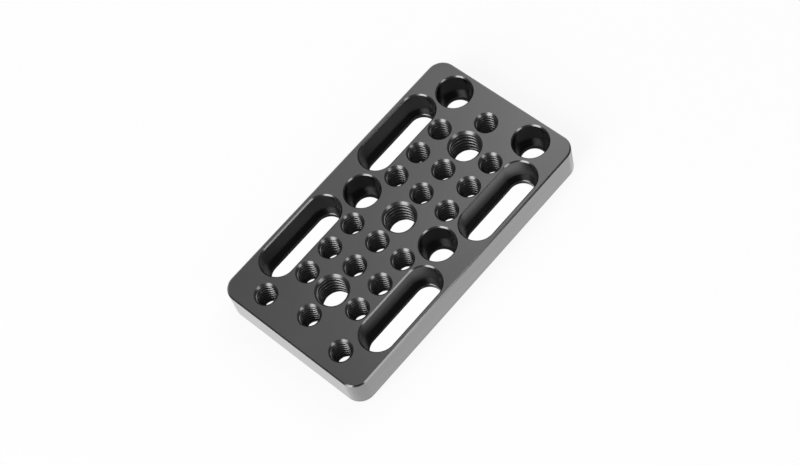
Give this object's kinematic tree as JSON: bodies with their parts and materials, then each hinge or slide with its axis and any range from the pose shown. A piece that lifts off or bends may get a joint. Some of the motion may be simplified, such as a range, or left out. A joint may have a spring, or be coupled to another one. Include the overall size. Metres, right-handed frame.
{
  "type": "cheese plate",
  "caption": "Flat rectangular camera rigging plate with a grid of tapped holes, recessed screw holes and stepped slots for bolting gear together.",
  "frame": {"origin": "middle of the underside, on the plane that the plate lies on", "axes": "+X along the length towards the end with the two recessed corner holes, +Y across the width, +Z out of the recessed upper face"},
  "size_m": [0.09, 0.049, 0.01],
  "materials": {
    "black_anodised": "satin black anodised, very fine even grain"
  },
  "bodies": {
    "root": {"cheese_plate": "black_anodised"}
  },
  "joints": []
}
